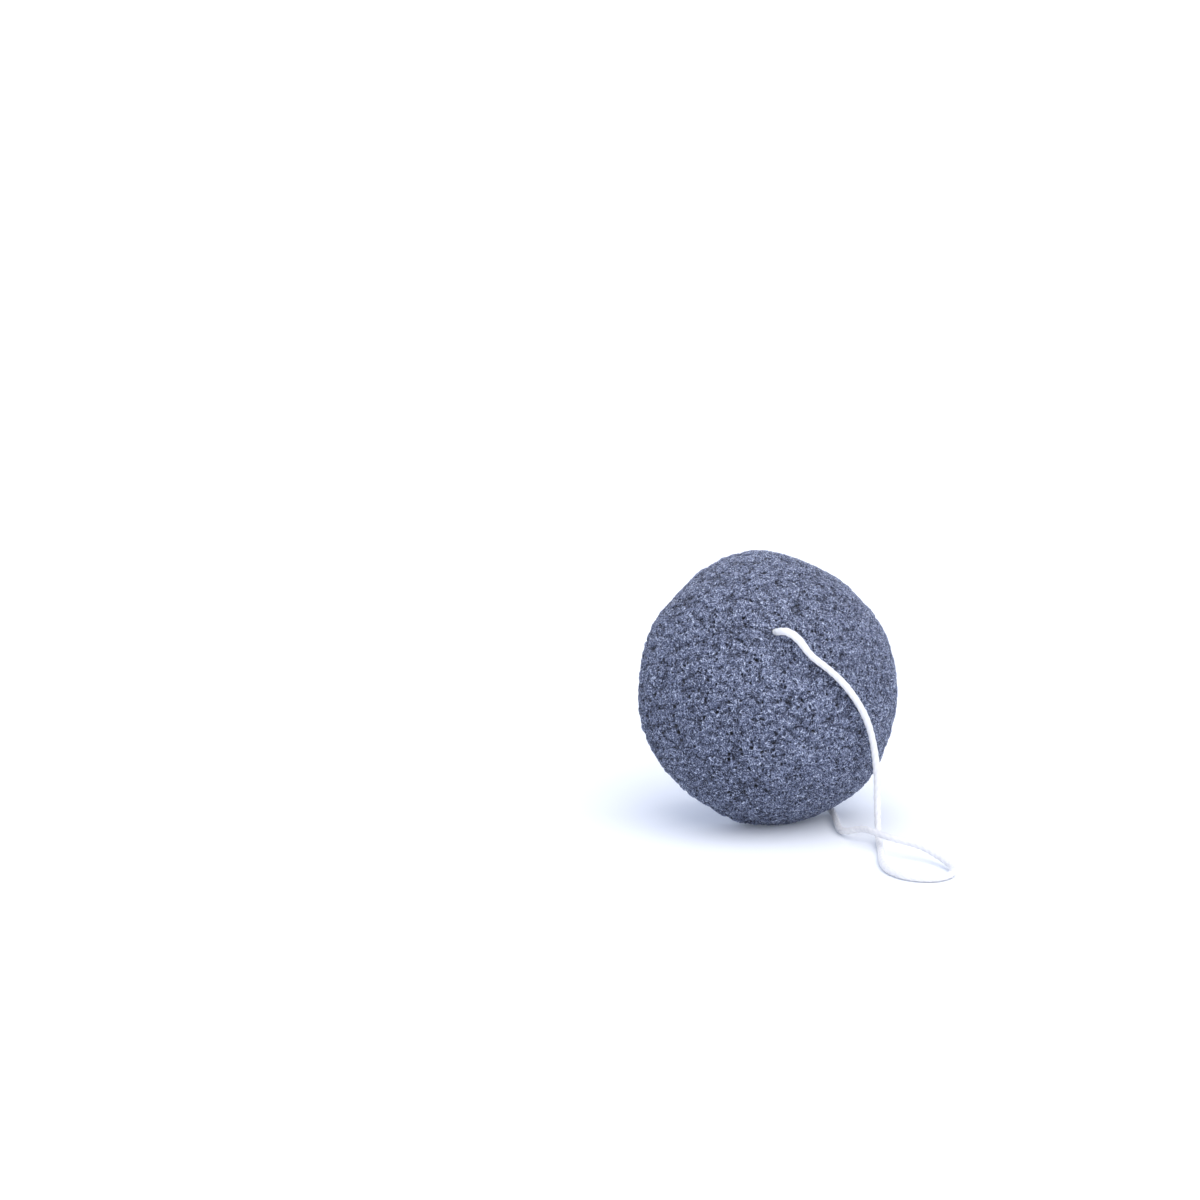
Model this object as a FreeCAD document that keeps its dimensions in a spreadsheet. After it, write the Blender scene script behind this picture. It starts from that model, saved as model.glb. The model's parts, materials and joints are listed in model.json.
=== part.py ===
import FreeCAD, Part
import math
import os

import Sketcher
from FreeCAD import Placement, Rotation, Vector

# A konjac sponge on its string, in millimetres.
# The half ball stands on the edge of its rim, leaning back at the angle at which it balances.
# +Z is up, the dome looks along -Y, and the origin is under the middle of the sponge, on the
# surface that it stands on.

doc = FreeCAD.newDocument("konjac_sponge")
sheet = doc.addObject("Spreadsheet::Sheet", "sizes")

SIZES = [
    # the sponge: a moulded half ball, measured square to its flat back
    ("sponge_diameter", 80.0),
    ("sponge_thickness", 42.0),
    ("rim_radius", 7.0),
    ("dome_blend_angle", 35.0),
    # how it stands
    ("lean_angle", 17.0),
    ("foot_depth", 0.7),
    # the channel for the string, off the middle of the sponge
    ("channel_side", -9.5),
    ("channel_rise", 15.8),
    ("channel_clearance", 0.15),
    ("mouth_radius", 0.5),
    ("cut_overrun", 5.0),
    # the string and the knot that ties its ends
    ("string_diameter", 2.2),
    ("string_proud", 0.3),
    ("knot_standoff", 4.2),
    ("knot_drop", 7.0),
    ("knot_lobe", 1.85),
    ("knot_depth", 2.5),
    ("knot_pitch", 2.7),
    ("knot_lead", 2.6),
]
for row, (name, number) in enumerate(SIZES, start=1):
    sheet.set("A%d" % row, name)
    sheet.set("B%d" % row, str(number))
    sheet.setAlias("B%d" % row, name)
doc.recompute()


def size(name):
    """The number in the sheet's cell of this name."""
    return float(getattr(sheet, name))


def bind(thing, prop, formula):
    """Tie a property to the sheet, where a formula's words are the sheet's names."""
    words = formula.replace("(", "( ").replace(")", " )").split()
    names = [name for name, _ in SIZES]
    thing.setExpression(prop, " ".join("sizes." + w if w in names else w for w in words))


# Sizes that follow from the sheet
radius = size("sponge_diameter") / 2
rim = size("rim_radius")
lean = math.radians(size("lean_angle"))
blend = math.radians(size("dome_blend_angle"))
dome_height = size("sponge_thickness") - rim
blend_gap = (radius - dome_height) / (math.sin(blend) + math.cos(blend) - 1)
side_radius = radius - blend_gap * math.sin(blend)
crown_radius = side_radius + blend_gap
crown_centre = size("sponge_thickness") - crown_radius
string_radius = size("string_diameter") / 2

# How far the leaning sponge reaches from the middle of its flat back: down, behind and in front
reach_down = (radius - rim) * math.cos(lean) - rim * math.sin(lean) + rim
reach_behind = (radius - rim) * math.sin(lean) - rim * math.cos(lean) + rim
reach_front = crown_radius + crown_centre * math.cos(lean)

# The sponge's own directions: to its side, up its flat back, and forward through the dome
ACROSS = Vector(1, 0, 0)
RISE = Vector(0, math.sin(lean), math.cos(lean))
FORWARD = Vector(0, -math.cos(lean), math.sin(lean))
BACK_MIDDLE = Vector(0, (reach_front - reach_behind) / 2, reach_down - size("foot_depth"))
channel_back = BACK_MIDDLE + ACROSS * size("channel_side") + RISE * size("channel_rise")
channel_reach = math.hypot(size("channel_side"), size("channel_rise"))
channel_length = crown_centre + math.sqrt(crown_radius**2 - channel_reach**2)


def side_sketch(body, name, middle):
    """A sketch in the upright plane through middle, its own X pointing forward through the dome."""
    sketch = body.newObject("Sketcher::SketchObject", name)
    plane = [f for f in body.Origin.OriginFeatures if f.Role == "YZ_Plane"][0]
    sketch.AttachmentSupport = [(plane, "")]
    sketch.MapMode = "FlatFace"
    turned = Rotation(Vector(0, 0, 1), 180 - size("lean_angle"))
    sketch.AttachmentOffset = Placement(Vector(middle.y, middle.z, middle.x), turned)
    return sketch


def constrain(sketch, kind, *where, name=None, formula=None):
    """Add one constraint, and tie it to the sheet if it has a formula."""
    index = sketch.addConstraint(Sketcher.Constraint(kind, *where))
    if name:
        sketch.renameConstraint(index, name)
        bind(sketch, "Constraints." + name, formula)
    return index


def line(sketch, a, b, helper=False):
    return sketch.addGeometry(Part.LineSegment(Vector(*a, 0), Vector(*b, 0)), helper)


def arc(sketch, middle, r, start, end):
    circle = Part.Circle(Vector(*middle, 0), Vector(0, 0, 1), r)
    return sketch.addGeometry(Part.ArcOfCircle(circle, math.radians(start), math.radians(end)), False)


# Ends of a sketch's lines and arcs, as constraints name them
START, END, MIDDLE = range(1, 4)
ORIGIN = (-1, 1)
X_AXIS = -1


# The sponge, turned about its axis from half a section: flat back, round rim, side and crown
def make_sponge():
    body = doc.addObject("PartDesign::Body", "sponge_body")
    body.Label = "sponge_body"
    half = side_sketch(body, "half_section", BACK_MIDDLE)
    blend_point = (crown_centre + crown_radius * math.cos(blend), crown_radius * math.sin(blend))
    top = (size("sponge_thickness"), 0)
    back = line(half, (0, 0), (0, radius - rim))
    edge = arc(half, (rim, radius - rim), rim, 90, 180)
    side = arc(half, (rim, radius - side_radius), side_radius, size("dome_blend_angle"), 90)
    crown = arc(half, (crown_centre, 0), crown_radius, 0, size("dome_blend_angle"))
    axis = line(half, top, (0, 0))
    spoke = line(half, (crown_centre, 0), blend_point, helper=True)
    constrain(half, "Coincident", back, START, *ORIGIN)
    constrain(half, "Vertical", back)
    constrain(half, "Tangent", back, END, edge, END)
    constrain(half, "Tangent", edge, START, side, END)
    constrain(half, "Tangent", side, START, crown, END)
    constrain(half, "Coincident", crown, START, axis, START)
    constrain(half, "Coincident", axis, END, *ORIGIN)
    constrain(half, "Horizontal", axis)
    constrain(half, "PointOnObject", crown, MIDDLE, X_AXIS)
    constrain(half, "Vertical", edge, MIDDLE, side, MIDDLE)
    constrain(half, "Coincident", spoke, START, crown, MIDDLE)
    constrain(half, "Coincident", spoke, END, crown, END)
    constrain(half, "Radius", edge, rim, name="rim", formula="rim_radius")
    thickness = ("DistanceX", axis, END, axis, START, size("sponge_thickness"))
    constrain(half, *thickness, name="thickness", formula="sponge_thickness")
    widest = ("DistanceY", *ORIGIN, edge, START, radius)
    constrain(half, *widest, name="half_width", formula="sponge_diameter / 2")
    angle = ("Angle", X_AXIS, START, spoke, START, blend)
    constrain(half, *angle, name="blend", formula="dome_blend_angle * 1 deg")
    dome = body.newObject("PartDesign::Revolution", "half_ball")
    dome.Profile = half
    dome.ReferenceAxis = (half, ["H_Axis"])
    dome.Angle = 360
    doc.recompute()
    whole = dome.Shape.Volume

    foot = body.newObject("Sketcher::SketchObject", "foot_outline")
    plane = [f for f in body.Origin.OriginFeatures if f.Role == "XY_Plane"][0]
    foot.AttachmentSupport = [(plane, "")]
    foot.MapMode = "FlatFace"
    corners = [(-radius, -radius), (radius, -radius), (radius, radius), (-radius, radius)]
    sides = [line(foot, a, b) for a, b in zip(corners, corners[1:] + corners[:1])]
    for this, other in zip(sides, sides[1:] + sides[:1]):
        constrain(foot, "Coincident", this, END, other, START)
    for index, kind in zip(sides, ("Horizontal", "Vertical", "Horizontal", "Vertical")):
        constrain(foot, kind, index)
    constrain(foot, "Symmetric", sides[0], START, sides[2], START, *ORIGIN)
    across = ("DistanceX", sides[0], START, sides[0], END, 2 * radius)
    constrain(foot, *across, name="across", formula="sponge_diameter")
    along = ("DistanceY", sides[1], START, sides[1], END, 2 * radius)
    constrain(foot, *along, name="along", formula="sponge_diameter")
    flat = body.newObject("PartDesign::Pocket", "flat_foot")
    flat.Profile = foot
    flat.Reversed = False
    bind(flat, "Length", "cut_overrun + foot_depth")
    doc.recompute()
    standing = flat.Shape.Volume

    bore = side_sketch(body, "channel_section", channel_back)
    tall = string_radius + size("channel_clearance")
    first, last = -size("cut_overrun"), size("sponge_thickness") + size("cut_overrun")
    corners = [(first, 0), (last, 0), (last, tall), (first, tall)]
    sides = [line(bore, a, b) for a, b in zip(corners, corners[1:] + corners[:1])]
    for this, other in zip(sides, sides[1:] + sides[:1]):
        constrain(bore, "Coincident", this, END, other, START)
    for index, kind in zip(sides, ("Horizontal", "Vertical", "Horizontal", "Vertical")):
        constrain(bore, kind, index)
    constrain(bore, "PointOnObject", sides[0], START, X_AXIS)
    before = ("DistanceX", sides[0], START, *ORIGIN, size("cut_overrun"))
    constrain(bore, *before, name="before", formula="cut_overrun")
    beyond = ("DistanceX", *ORIGIN, sides[0], END, last)
    constrain(bore, *beyond, name="beyond", formula="sponge_thickness + cut_overrun")
    wide = ("DistanceY", sides[1], START, sides[1], END, tall)
    constrain(bore, *wide, name="wide", formula="string_diameter / 2 + channel_clearance")
    channel = body.newObject("PartDesign::Groove", "channel")
    channel.Profile = bore
    channel.ReferenceAxis = (bore, ["H_Axis"])
    channel.Angle = 360
    doc.recompute()
    print("sponge %.1f, foot cut %.2f, channel cut %.1f mm3" % (
        whole, whole - standing, standing - channel.Shape.Volume))
    if not standing < whole or not channel.Shape.Volume < standing:
        raise SystemExit("a cut of the sponge removes nothing")

    # the foam closes round the string with a soft edge at both mouths
    walls = [f for f in channel.Shape.Faces if isinstance(f.Surface, Part.Cylinder)]
    mouths = [
        "Edge%d" % number
        for number, edge in enumerate(channel.Shape.Edges, start=1)
        if any(edge.isSame(e) for wall in walls for e in wall.Edges)
        and edge.isClosed()
    ]
    soft = body.newObject("PartDesign::Fillet", "soft_mouths")
    soft.Base = (channel, mouths)
    bind(soft, "Radius", "mouth_radius")
    body.Tip = soft
    doc.recompute()
    print("channel mouths rounded:", len(mouths))
    return body


# The string's straight stretch inside the channel
def make_held_string():
    held = doc.addObject("Part::Cylinder", "string_in_channel")
    held.Label = "string_in_channel"
    bind(held, "Radius", "string_diameter / 2")
    held.Height = channel_length + size("string_proud")
    held.Placement = Placement(channel_back, Rotation(Vector(0, 0, 1), FORWARD))
    return held


# A run of string keeps this share of its shorter neighbour for each arc's tangent
TANGENT_SHARE = 0.45


def string_path(points):
    """Straight runs joined by tangent arcs, as a wire, and the arcs' radii."""
    edges, radii, here = [], [], points[0]
    for before, corner, after in zip(points, points[1:], points[2:]):
        back, on = before - corner, after - corner
        tangent = TANGENT_SHARE * min(back.Length, on.Length)
        back.normalize()
        on.normalize()
        turn = math.pi - back.getAngle(on)
        r = tangent / math.tan(turn / 2)
        inward = (back + on).normalize()
        middle = corner + inward * math.hypot(r, tangent)
        begin, finish = corner + back * tangent, corner + on * tangent
        edges.append(Part.LineSegment(here, begin).toShape())
        edges.append(Part.Arc(begin, middle - inward * r, finish).toShape())
        radii.append(r)
        here = finish
    edges.append(Part.LineSegment(here, points[-1]).toShape())
    return Part.Wire(edges), radii


def least_gap(wire):
    """The least clear space between stretches of a string that aren't neighbours."""
    step = string_radius / 2
    spots = wire.discretize(Distance=step)
    apart = int(3 * size("string_diameter") / step)
    near = min(
        (a - b).Length
        for i, a in enumerate(spots)
        for b in spots[i + apart :]
    )
    return near - size("string_diameter")


def sweep_string(name, points):
    """A tube of the string's diameter along its path."""
    wire, radii = string_path(points)
    spine = doc.addObject("Part::Feature", name + "_path")
    spine.Shape = wire
    section = doc.addObject("Part::Circle", name + "_section")
    bind(section, "Radius", "string_diameter / 2")
    section.Placement = Placement(points[0], Rotation(Vector(0, 0, 1), points[1] - points[0]))
    tube = doc.addObject("Part::Sweep", name)
    tube.Sections = [section]
    tube.Spine = spine
    tube.Solid = True
    tube.Frenet = False
    doc.recompute()
    ideal = math.pi * string_radius**2 * wire.Length
    runs = [(b - a).Length for a, b in zip(points, points[1:])]
    print("%s: %.1f long, runs %.1f to %.1f, volume %.4f of its section times its length" % (
        name, wire.Length, min(runs), max(runs), tube.Shape.Volume / ideal))
    print("  radii", " ".join("%.1f" % r for r in radii), "least gap %.2f" % least_gap(wire))
    return tube


# The knot: a thumb knot in the string just behind the sponge, whose lobes lie in an upright
# plane. The string comes out of the channel, drops past the knot's side, goes twice round
# its middle through three lobes, and leaves downwards. The two tied ends stick out.
TURNS_OF_KNOT = 2
LOBES = 3
STEPS_A_TURN = 12
FIRST_STEP_SHARE = 0.5
channel_mouth = channel_back - FORWARD * size("knot_standoff")
knot_middle = Vector(
    channel_mouth.x - LOBES * size("knot_lobe"),
    channel_mouth.y + size("knot_pitch") / 2,
    channel_mouth.z - size("knot_drop"),
)
knot_end = knot_middle + Vector(
    LOBES * size("knot_lobe"), size("knot_pitch") / 2, -TURNS_OF_KNOT * size("knot_lead")
)


def knot_point(angle):
    """A point of the knot's middle line, at this angle from where the string leaves it."""
    lobes = LOBES * angle / TURNS_OF_KNOT
    out = size("knot_lobe") * (TURNS_OF_KNOT + math.cos(lobes))
    done = angle / (TURNS_OF_KNOT * 2 * math.pi)
    deep = size("knot_depth") * math.sin(lobes) + size("knot_pitch") * (0.5 - done)
    return knot_middle + Vector(out * math.cos(angle), deep, out * math.sin(angle))


def make_knot():
    points = [channel_back, channel_mouth]
    points.append(Vector(channel_mouth.x, channel_mouth.y, knot_middle.z + size("knot_lead")))
    step = 2 * math.pi / STEPS_A_TURN
    for number in reversed(range(TURNS_OF_KNOT * STEPS_A_TURN)):
        points.append(knot_point((number + FIRST_STEP_SHARE) * step))
    points.append(Vector(knot_end.x, knot_end.y, knot_middle.z - size("knot_lead")))
    points.append(knot_end)
    # each tail's bends, from the knot's middle, as shares of the string's diameter
    upper_tail_shares = [(-1.3, 0.5, 0.3), (-3.4, 0.8, 0.5), (-5.8, 0.7, -0.9)]
    lower_tail_shares = [(-1.3, -0.5, -0.3), (-3.2, -0.6, -1.3), (-4.4, -0.4, -3.7)]
    tubes = [sweep_string("knot_turns", points)]
    for name, shares in (("upper_tail", upper_tail_shares), ("lower_tail", lower_tail_shares)):
        tail = [knot_middle + Vector(*place) * size("string_diameter") for place in shares]
        tubes.append(sweep_string(name, tail))
    knot = doc.addObject("Part::MultiFuse", "string_knot")
    knot.Label = "string_knot"
    knot.Shapes = tubes
    knot.Refine = False
    return knot


# The free string: out of the dome, over its front, down to the surface, round one loop,
# under the rim and up behind the sponge to the knot. The places are chosen by hand.
LOOP_PLACES = [
    (-9.5, -18.196, 62.818),
    (-8.1, -19.9, 63.0),
    (-5.2, -21.2, 60.9),
    (-2.6, -23.1, 56.3),
    (2.2, -24.7, 52.2),
    (7.0, -25.6, 47.3),
    (11.2, -26.0, 41.8),
    (14.9, -26.1, 35.8),
    (17.4, -26.4, 28.6),
    (18.1, -27.0, 19.5),
    (17.7, -27.6, 10.5),
    (16.9, -29.5, 3.6),
    (14.0, -35.3, 1.2),
    (10.2, -43.4, 1.2),
    (5.4, -51.6, 1.2),
    (2.7, -60.1, 1.2),
    (4.9, -68.0, 1.2),
    (11.2, -72.6, 1.2),
    (17.7, -70.9, 1.2),
    (20.9, -65.0, 1.5),
    (20.3, -57.3, 2.9),
    (17.6, -50.6, 4.6),
    (13.2, -45.2, 5.2),
    (11.3, -37.0, 5.2),
    (11.9, -29.2, 4.4),
    (9.4, -22.0, 1.3),
    (12.0, -14.3, 1.2),
    (15.9, -5.9, 1.2),
    (18.9, 2.8, 1.2),
    (21.4, 12.0, 1.2),
    (18.3, 21.0, 1.2),
    (10.0, 27.0, 1.2),
    (0.5, 29.0, 1.2),
    (-6.3, 28.8, 3.4),
    (-9.1, 28.3, 9.8),
    (-9.8, 27.9, 19.2),
    (-9.5, 27.434, 29.0),
]


def make_loop():
    exit_point = channel_back + FORWARD * (channel_length + size("string_proud"))
    points = [exit_point] + [Vector(*place) for place in LOOP_PLACES] + [knot_end]
    print("the string leaves the dome at", [round(v, 2) for v in exit_point])
    print("the knot ends at", [round(v, 2) for v in knot_end])
    loop = sweep_string("string_loop", points)
    loop.Label = "string_loop"
    return loop


parts = [make_sponge(), make_held_string(), make_loop(), make_knot()]
doc.recompute()

faulty = [o.Name for o in doc.Objects if "Invalid" in o.State or "Error" in o.State]
if faulty:
    raise SystemExit("these objects failed: %s" % faulty)
for part in parts:
    if part.Shape.isNull() or not part.Shape.isValid() or not part.Shape.Solids:
        raise SystemExit("%s has no valid solid" % part.Label)

os.makedirs("parts", exist_ok=True)
for part in parts:
    part.Shape.exportStep("parts/%s.step" % part.Label)
    box = part.Shape.optimalBoundingBox(True, False)
    print("%s: %d solid, %.1f mm3, x %.2f to %.2f, y %.2f to %.2f, z %.2f to %.2f" % (
        part.Label, len(part.Shape.Solids), part.Shape.Volume,
        box.XMin, box.XMax, box.YMin, box.YMax, box.ZMin, box.ZMax))
middle = parts[0].Shape.Solids[0].CenterOfMass
print("the sponge's centre of mass is at y %.2f, z %.2f" % (middle.y, middle.z))
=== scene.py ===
# %% [markdown]
# A charcoal konjac sponge on its cotton string.
# The real thing is a half ball of dried plant jelly, coloured with charcoal, with one string
# through it. The solid model already has every size, so this lesson loads it first and keeps
# to it. Then come the camera, the string with its knot, the foam, the two finishes, the stage
# and the light.

# %% Start empty and load the solid model
import json
import math
import random

import bpy
import numpy as np
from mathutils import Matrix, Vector

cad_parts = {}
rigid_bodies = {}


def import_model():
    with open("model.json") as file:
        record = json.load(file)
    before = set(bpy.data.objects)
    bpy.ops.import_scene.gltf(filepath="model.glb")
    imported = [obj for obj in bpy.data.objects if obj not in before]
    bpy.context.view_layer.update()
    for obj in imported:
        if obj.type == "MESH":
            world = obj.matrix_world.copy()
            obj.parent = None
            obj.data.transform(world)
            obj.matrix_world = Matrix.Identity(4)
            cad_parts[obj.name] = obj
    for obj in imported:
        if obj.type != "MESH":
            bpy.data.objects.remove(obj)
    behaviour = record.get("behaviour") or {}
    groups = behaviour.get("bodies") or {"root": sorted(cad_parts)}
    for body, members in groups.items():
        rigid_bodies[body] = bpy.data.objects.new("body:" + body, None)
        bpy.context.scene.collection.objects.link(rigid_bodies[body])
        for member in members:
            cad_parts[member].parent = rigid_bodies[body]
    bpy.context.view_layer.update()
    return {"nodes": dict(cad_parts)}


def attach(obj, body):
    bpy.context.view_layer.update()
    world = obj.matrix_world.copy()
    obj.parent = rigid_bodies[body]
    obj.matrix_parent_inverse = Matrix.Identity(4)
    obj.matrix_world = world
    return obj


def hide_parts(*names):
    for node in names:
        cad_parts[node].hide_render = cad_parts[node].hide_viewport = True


bpy.ops.object.select_all(action="SELECT")
bpy.ops.object.delete()
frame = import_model()
print("nodes of the solid model:", sorted(frame["nodes"]))

# %% [markdown]
# The camera.
# The photograph was taken from the front, a little to the left and a little above, with a long
# lens. A long lens far away keeps the half ball round, where a short one would swell its middle.

# %% Camera
CAMERA_PLACE = (-0.5638, -1.0365, 0.3522)
LOOKS_DOWN = math.radians(13.6)
LOOKS_RIGHT = math.radians(26)
LENS_MM = 125.24
SENSOR_MM = 36

bpy.ops.object.camera_add(
    location=CAMERA_PLACE, rotation=(math.pi / 2 - LOOKS_DOWN, 0, -LOOKS_RIGHT)
)
camera = bpy.context.object
camera.name = "camera"
camera.data.lens = LENS_MM
camera.data.sensor_width = SENSOR_MM
camera.data.clip_end = 100
bpy.context.scene.camera = camera
print("camera stands", round(camera.location.length, 3), "m from the sponge's foot")

# %% [markdown]
# Where the sponge's own directions are.
# The sponge stands on the edge of its rim and leans back 17 degrees. So "up its back" and
# "out of its dome" are slanted directions, and every place on it is easier to say in them.

# %% Directions on the sponge
LEAN = math.radians(17)
UP_THE_BACK = Vector((0, math.sin(LEAN), math.cos(LEAN)))
OUT_OF_DOME = Vector((0, -math.cos(LEAN), math.sin(LEAN)))
BACK_MIDDLE = Vector((0, 0.01610, 0.03581))
SPONGE_RADIUS = 0.040
CHANNEL_BACK = Vector((-0.0095, 0.020717, 0.050921))
STRING_EXIT = Vector((-0.0095, -0.015996, 0.062145))
print("the channel is", round((STRING_EXIT - CHANNEL_BACK).length * 1000, 1), "mm long")

# %% [markdown]
# The route of the string.
# A limp string has no corners. A NURBS line with the route's places as its control points gives
# the smooth curve, and the places are the same ones that the solid model's tube goes by. It
# leaves the dome, slides down over it, hangs, lies in one loop, passes over itself, goes
# back under the rim and climbs up behind to the knot.

# %% Places that the loop goes by, in metres
KNOT_END = (-0.0095, 0.027434, 0.037493)
LOOP_PLACES = [
    (-0.0095, -0.018196, 0.062818),
    (-0.0084, -0.0207, 0.0631),
    (-0.0058, -0.0225, 0.0608),
    (-0.0033, -0.0243, 0.0563),
    (0.0018, -0.0254, 0.0523),
    (0.0069, -0.0259, 0.0474),
    (0.0112, -0.0260, 0.0418),
    (0.0147, -0.0261, 0.0357),
    (0.0167, -0.0266, 0.0286),
    (0.0177, -0.0272, 0.0195),
    (0.0177, -0.0276, 0.0105),
    (0.0169, -0.0295, 0.0036),
    (0.0140, -0.0353, 0.0012),
    (0.0102, -0.0434, 0.0012),
    (0.0054, -0.0516, 0.0012),
    (0.0027, -0.0601, 0.0012),
    (0.0049, -0.0680, 0.0012),
    (0.0112, -0.0726, 0.0012),
    (0.0177, -0.0709, 0.0012),
    (0.0209, -0.0650, 0.0015),
    (0.0203, -0.0573, 0.0029),
    (0.0176, -0.0506, 0.0046),
    (0.0132, -0.0452, 0.0052),
    (0.0113, -0.0370, 0.0052),
    (0.0119, -0.0292, 0.0044),
    (0.0094, -0.0220, 0.0013),
    (0.0120, -0.0143, 0.0012),
    (0.0159, -0.0059, 0.0012),
    (0.0189, 0.0028, 0.0012),
    (0.0214, 0.0120, 0.0012),
    (0.0183, 0.0210, 0.0012),
    (0.0100, 0.0270, 0.0012),
    (0.0005, 0.0290, 0.0012),
    (-0.0063, 0.0288, 0.0034),
    (-0.0091, 0.0283, 0.0098),
    (-0.0098, 0.0279, 0.0192),
    (-0.0095, 0.027434, 0.0290),
]
loop_route = [STRING_EXIT, *LOOP_PLACES, KNOT_END]
print("the loop goes by", len(loop_route), "places")

# %% From places to a smooth line
STEP = 0.00035  # from ring to ring of the string, small against its 2.5 mm strand spacing


def smooth_line(places):
    """Lays a NURBS line along the places and gives points on it, one every STEP metres."""
    curve = bpy.data.curves.new("route", "CURVE")
    curve.dimensions = "3D"
    curve.resolution_u = 24
    spline = curve.splines.new("NURBS")
    spline.points.add(len(places) - 1)
    for point, place in zip(spline.points, places):
        point.co = (*place, 1)
    spline.order_u = 3
    spline.use_endpoint_u = True
    holder = bpy.data.objects.new("route", curve)
    mesh = bpy.data.meshes.new_from_object(holder)
    raw = [vertex.co.copy() for vertex in mesh.vertices]
    bpy.data.meshes.remove(mesh)
    bpy.data.objects.remove(holder)
    bpy.data.curves.remove(curve)
    return evenly(raw)


def evenly(raw):
    """Gives points on a line of raw points that are all the same distance apart."""
    whole = sum((b - a).length for a, b in zip(raw, raw[1:]))
    count = max(3, round(whole / STEP))
    line, gone, wanted = [raw[0].copy()], 0.0, whole / count
    for a, b in zip(raw, raw[1:]):
        run = (b - a).length
        while wanted <= gone + run and len(line) < count:
            line.append(a.lerp(b, (wanted - gone) / run))
            wanted += whole / count
        gone += run
    return [*line, raw[-1].copy()]


def length_of(line):
    return sum((b - a).length for a, b in zip(line, line[1:]))


loop_line = smooth_line(loop_route)
print("the loop is", round(length_of(loop_line) * 1000, 1), "mm long")

# %% [markdown]
# The make of the string.
# It is soft cotton of 2.2 mm, three strands laid round each other, with a full turn every
# 7.5 mm, so that a strand shows every 2.5 mm along its edge. A real string like this is never
# the same all along: it is fuller where nothing pulls it and thinner where it hangs. The tube's
# section has three soft lobes that turn as it goes along. A twisted lobed section shows
# the strands from every side, with a tenth of the faces that three separate strands would need.

# %% Twisted string
STRING_DIAMETER = 0.0022
LAY = 0.0075
STRANDS = 3
GROOVE = 0.085
SIDES = 30


def carry_across(line, start):
    """Gives a direction across the line at each point, which turns no more than the line does."""
    across, found = start.normalized(), []
    for number, here in enumerate(line):
        before, after = line[max(number - 1, 0)], line[min(number + 1, len(line) - 1)]
        ahead = (after - before).normalized()
        across = (across - ahead * across.dot(ahead)).normalized()
        found.append((here, ahead, across))
    return found


def twist_to_meet(frames, first_turn, last_lobe):
    """Gives the strands' turn at each point. Where last_lobe is given, one strand meets it."""
    count = len(frames) - 1
    whole = length_of([here for here, ahead, across in frames])
    last_turn = first_turn + 2 * math.pi * whole / LAY
    if last_lobe is not None:
        here, ahead, across = frames[-1]
        wanted = math.atan2(last_lobe.dot(ahead.cross(across)), last_lobe.dot(across))
        third = 2 * math.pi / STRANDS
        last_turn += (wanted - last_turn + third / 2) % third - third / 2
    return [first_turn + (last_turn - first_turn) * n / count for n in range(count + 1)]


def section_radius(angle, radius):
    """Gives the radius of the three-lobed section at an angle from the first strand's top."""
    return radius * (1 - GROOVE * (1 - math.cos(STRANDS * angle)) / 2)


print("the string shows a strand every", LAY / STRANDS * 1000, "mm")

# %% A run of string, as rings of points


def string_run(line, across, first_turn, radii, last_lobe=None):
    """Gives the rings of a run: for each ring its points, and where each is in the strands."""
    frames = carry_across(line, across)
    turns = twist_to_meet(frames, first_turn, last_lobe)
    whole, rings = length_of(line), []
    for number, ((here, ahead, side), turn) in enumerate(zip(frames, turns)):
        share = number / (len(frames) - 1)
        radius = radii(share)
        ring = []
        for corner in range(SIDES):
            angle = 2 * math.pi * corner / SIDES
            out = section_radius(angle, radius)
            way = side * math.cos(angle + turn) + ahead.cross(side) * math.sin(angle + turn)
            in_strands = (out * math.cos(angle), out * math.sin(angle), whole * share)
            ring.append((here + way * out, in_strands))
        rings.append(ring)
    return rings


print("each ring has", SIDES, "points")

# %% Where one run goes on as another piece
PLUG = ((0.00035, 0.965), (0.00070, 0.91))  # how far on, and how thick against the end's ring


def plugged(rings, line):
    """Lets a run reach a little into the one that follows, thinner, so no seam shows."""
    ahead = (line[-1] - line[-2]).normalized()
    plug = [
        [(line[-1] + (point - line[-1]) * share + ahead * on, place) for point, place in rings[-1]]
        for on, share in PLUG
    ]
    return [*rings, *plug]


print("runs that meet reach", PLUG[-1][0] * 1000, "mm into each other")

# %% A loose fibre, as rings of points
HAIR_RINGS = 5
HAIR_SIDES = 4
HAIR_TAPER = 0.75


def hair(start, way, length, thickness, droop):
    """Gives the rings of one loose cotton fibre, which thins out and droops."""
    rings, side = [], way.orthogonal().normalized()
    for number in range(HAIR_RINGS):
        share = number / (HAIR_RINGS - 1)
        here = start + way * length * share + Vector((0, 0, -droop * share * share))
        radius = thickness * (1 - HAIR_TAPER * share)
        ring = []
        for corner in range(HAIR_SIDES):
            angle = 2 * math.pi * corner / HAIR_SIDES
            out = side * math.cos(angle) + way.cross(side) * math.sin(angle)
            ring.append((here + out * radius, (radius, 0, length * share)))
        rings.append(ring)
    return rings


print("a loose fibre has", HAIR_RINGS, "rings of", HAIR_SIDES, "points")

# %% Where the string's faces lie on its bake map
# runs lie in long rows at its left, and fibres and cut ends in a column at its right
RUNS_FROM, RUNS_WIDE = 0.01, 0.93
ROW_MARGIN = 0.03
HAIRS_FROM, HAIRS_WIDE = 0.955, 0.04
ENDS_AT, ENDS_RADIUS, ENDS_SHARE = 0.975, 0.018, 0.35
CELL_MARGIN = 0.1


def stack_of_boxes(left, right, heights):
    """Gives the four corners of each box that lies between two sides, one above the other."""
    return [((left, a), (left, b), (right, b), (right, a)) for a, b in zip(heights, heights[1:])]


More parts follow.
